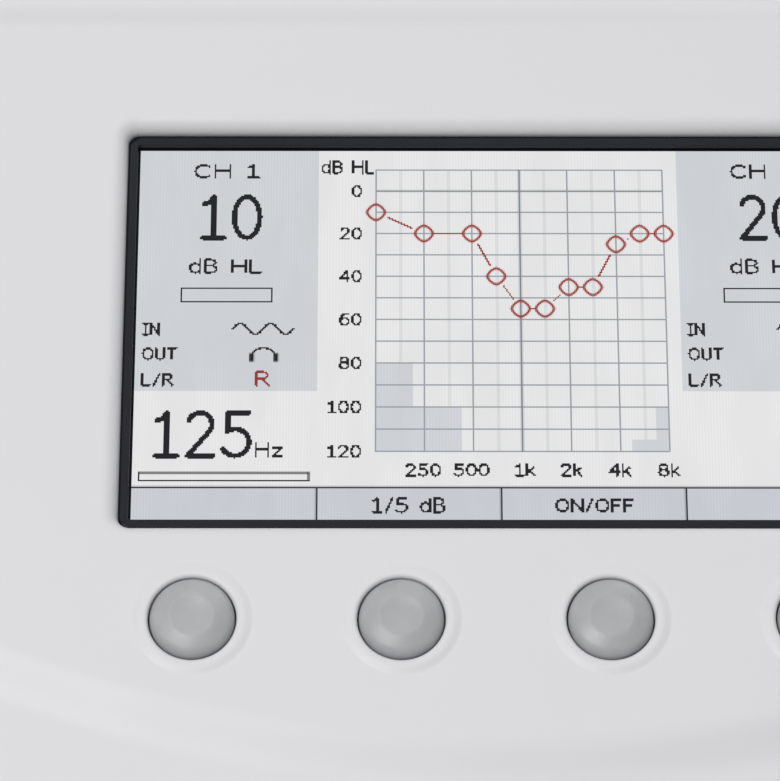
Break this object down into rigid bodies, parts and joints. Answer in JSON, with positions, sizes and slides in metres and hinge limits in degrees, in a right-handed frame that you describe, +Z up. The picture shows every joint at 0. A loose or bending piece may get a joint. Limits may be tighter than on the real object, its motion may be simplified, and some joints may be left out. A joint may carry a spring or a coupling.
{
  "type": "audiometer",
  "caption": "Desktop audiometer with a sloped deck, a colour screen, dome soft keys, level knobs, tone keys and a row of rear sockets.",
  "frame": {"origin": "on the table, under the middle of the case", "axes": "+Z up, +X to the user's right, +Y to the rear with the sockets"},
  "size_m": [0.3, 0.24, 0.079],
  "materials": {
    "case_plastic": "satin, fine moulded grain",
    "key_plastic": "satin",
    "knob_plastic": "satin",
    "grip_rubber": "matt, fluted",
    "black_gloss": "glossy",
    "black_plastic": "fine grain",
    "glass": "lit screen under glass",
    "diffuser": "white diffuser",
    "steel": "brushed",
    "shaft_steel": "turned",
    "nickel": "nickel plated",
    "board": "green solder mask",
    "part_black": "moulded epoxy",
    "flex_amber": "polyimide film",
    "ribbon_grey": "PVC",
    "switch_plastic": "moulded",
    "lamp": "amber light pipe",
    "foot_rubber": "matt",
    "brass": "knurled"
  },
  "bodies": {
    "case": {"top_shell": "case_plastic", "bottom_shell": "case_plastic", "rear_panel": "black_plastic", "screen_bezel": "black_gloss", "lcd_glass": "glass", "lcd_backlight": "diffuser", "lcd_frame": "steel", "lcd_bracket": "steel", "lcd_flex": "flex_amber", "tone_lamps": "lamp", "ch1_encoder": "steel", "ch2_encoder": "steel", "encoder_nuts": "nickel", "softkey_switches": "switch_plastic", "lower_key_switches": "switch_plastic", "tone_switches": "switch_plastic", "upper_key_board": "board", "lower_key_board": "board", "main_board": "board", "main_board_parts": "part_black", "shield_can": "steel", "ribbon_cables": "ribbon_grey", "speaker": "black_plastic", "speaker_grille": "black_plastic", "talkover_mic": "black_plastic", "power_switch_body": "black_plastic", "dc_inlet": "black_plastic", "usb_socket": "steel", "phones_left_jack": "black_plastic", "phones_right_jack": "black_plastic", "bone_jack": "black_plastic", "response_jack": "black_plastic", "talkback_jack": "black_plastic", "jack_nuts": "nickel", "rubber_feet": "foot_rubber", "case_screws": "nickel", "board_screws": "nickel", "brass_inserts": "brass"},
    "softkey_1": {"softkey_1": "key_plastic"},
    "softkey_2": {"softkey_2": "key_plastic"},
    "softkey_3": {"softkey_3": "key_plastic"},
    "softkey_4": {"softkey_4": "key_plastic"},
    "ch1_input_key": {"ch1_input_key": "key_plastic"},
    "ch1_output_key": {"ch1_output_key": "key_plastic"},
    "ch1_side_key": {"ch1_side_key": "key_plastic"},
    "ch2_input_key": {"ch2_input_key": "key_plastic"},
    "ch2_output_key": {"ch2_output_key": "key_plastic"},
    "ch2_side_key": {"ch2_side_key": "key_plastic"},
    "freq_down_key": {"freq_down_key": "key_plastic"},
    "freq_up_key": {"freq_up_key": "key_plastic"},
    "store_key": {"store_key": "key_plastic"},
    "ch1_tone_key": {"ch1_tone_key": "key_plastic"},
    "ch2_tone_key": {"ch2_tone_key": "key_plastic"},
    "ch1_knob": {"ch1_knob": "knob_plastic", "ch1_knob_grip": "grip_rubber", "ch1_encoder_shaft": "shaft_steel"},
    "ch2_knob": {"ch2_knob": "knob_plastic", "ch2_knob_grip": "grip_rubber", "ch2_encoder_shaft": "shaft_steel"},
    "power_rocker": {"power_rocker": "black_plastic"}
  },
  "joints": [
    {"name": "softkey_1_press", "type": "slide", "parent": "case", "child": "softkey_1", "axis": [0, 0.1736, -0.9848], "range_m": [0, 0.001], "stiffness_N_per_m": 250, "springref_m": -0.0002},
    {"name": "softkey_2_press", "type": "slide", "parent": "case", "child": "softkey_2", "axis": [0, 0.1736, -0.9848], "range_m": [0, 0.001], "stiffness_N_per_m": 250, "springref_m": -0.0002},
    {"name": "softkey_3_press", "type": "slide", "parent": "case", "child": "softkey_3", "axis": [0, 0.1736, -0.9848], "range_m": [0, 0.001], "stiffness_N_per_m": 250, "springref_m": -0.0002},
    {"name": "softkey_4_press", "type": "slide", "parent": "case", "child": "softkey_4", "axis": [0, 0.1736, -0.9848], "range_m": [0, 0.001], "stiffness_N_per_m": 250, "springref_m": -0.0002},
    {"name": "ch1_input_key_press", "type": "slide", "parent": "case", "child": "ch1_input_key", "axis": [0, 0.1736, -0.9848], "range_m": [0, 0.001], "stiffness_N_per_m": 250, "springref_m": -0.0002},
    {"name": "ch1_output_key_press", "type": "slide", "parent": "case", "child": "ch1_output_key", "axis": [0, 0.1736, -0.9848], "range_m": [0, 0.001], "stiffness_N_per_m": 250, "springref_m": -0.0002},
    {"name": "ch1_side_key_press", "type": "slide", "parent": "case", "child": "ch1_side_key", "axis": [0, 0.1736, -0.9848], "range_m": [0, 0.001], "stiffness_N_per_m": 250, "springref_m": -0.0002},
    {"name": "ch2_input_key_press", "type": "slide", "parent": "case", "child": "ch2_input_key", "axis": [0, 0.1736, -0.9848], "range_m": [0, 0.001], "stiffness_N_per_m": 250, "springref_m": -0.0002},
    {"name": "ch2_output_key_press", "type": "slide", "parent": "case", "child": "ch2_output_key", "axis": [0, 0.1736, -0.9848], "range_m": [0, 0.001], "stiffness_N_per_m": 250, "springref_m": -0.0002},
    {"name": "ch2_side_key_press", "type": "slide", "parent": "case", "child": "ch2_side_key", "axis": [0, 0.1736, -0.9848], "range_m": [0, 0.001], "stiffness_N_per_m": 250, "springref_m": -0.0002},
    {"name": "freq_down_key_press", "type": "slide", "parent": "case", "child": "freq_down_key", "axis": [0, 0.1736, -0.9848], "range_m": [0, 0.001], "stiffness_N_per_m": 250, "springref_m": -0.0002},
    {"name": "freq_up_key_press", "type": "slide", "parent": "case", "child": "freq_up_key", "axis": [0, 0.1736, -0.9848], "range_m": [0, 0.001], "stiffness_N_per_m": 250, "springref_m": -0.0002},
    {"name": "store_key_press", "type": "slide", "parent": "case", "child": "store_key", "axis": [0, 0.1736, -0.9848], "range_m": [0, 0.001], "stiffness_N_per_m": 250, "springref_m": -0.0002},
    {"name": "ch1_tone_key_press", "type": "slide", "parent": "case", "child": "ch1_tone_key", "axis": [0, 0.1736, -0.9848], "range_m": [0, 0.001], "stiffness_N_per_m": 300, "springref_m": -0.0002},
    {"name": "ch2_tone_key_press", "type": "slide", "parent": "case", "child": "ch2_tone_key", "axis": [0, 0.1736, -0.9848], "range_m": [0, 0.001], "stiffness_N_per_m": 300, "springref_m": -0.0002},
    {"name": "ch1_knob_turn", "type": "hinge", "parent": "case", "child": "ch1_knob", "pos_m": [-0.098, -0.04188, 0.05177], "axis": [0, -0.1736, 0.9848], "continuous": true},
    {"name": "ch2_knob_turn", "type": "hinge", "parent": "case", "child": "ch2_knob", "pos_m": [0.098, -0.04188, 0.05177], "axis": [0, -0.1736, 0.9848], "continuous": true},
    {"name": "power_rocker_tilt", "type": "hinge", "parent": "case", "child": "power_rocker", "pos_m": [-0.095, 0.1138, 0.0205], "axis": [0, 0, 1], "range_deg": [-20, 0]}
  ]
}
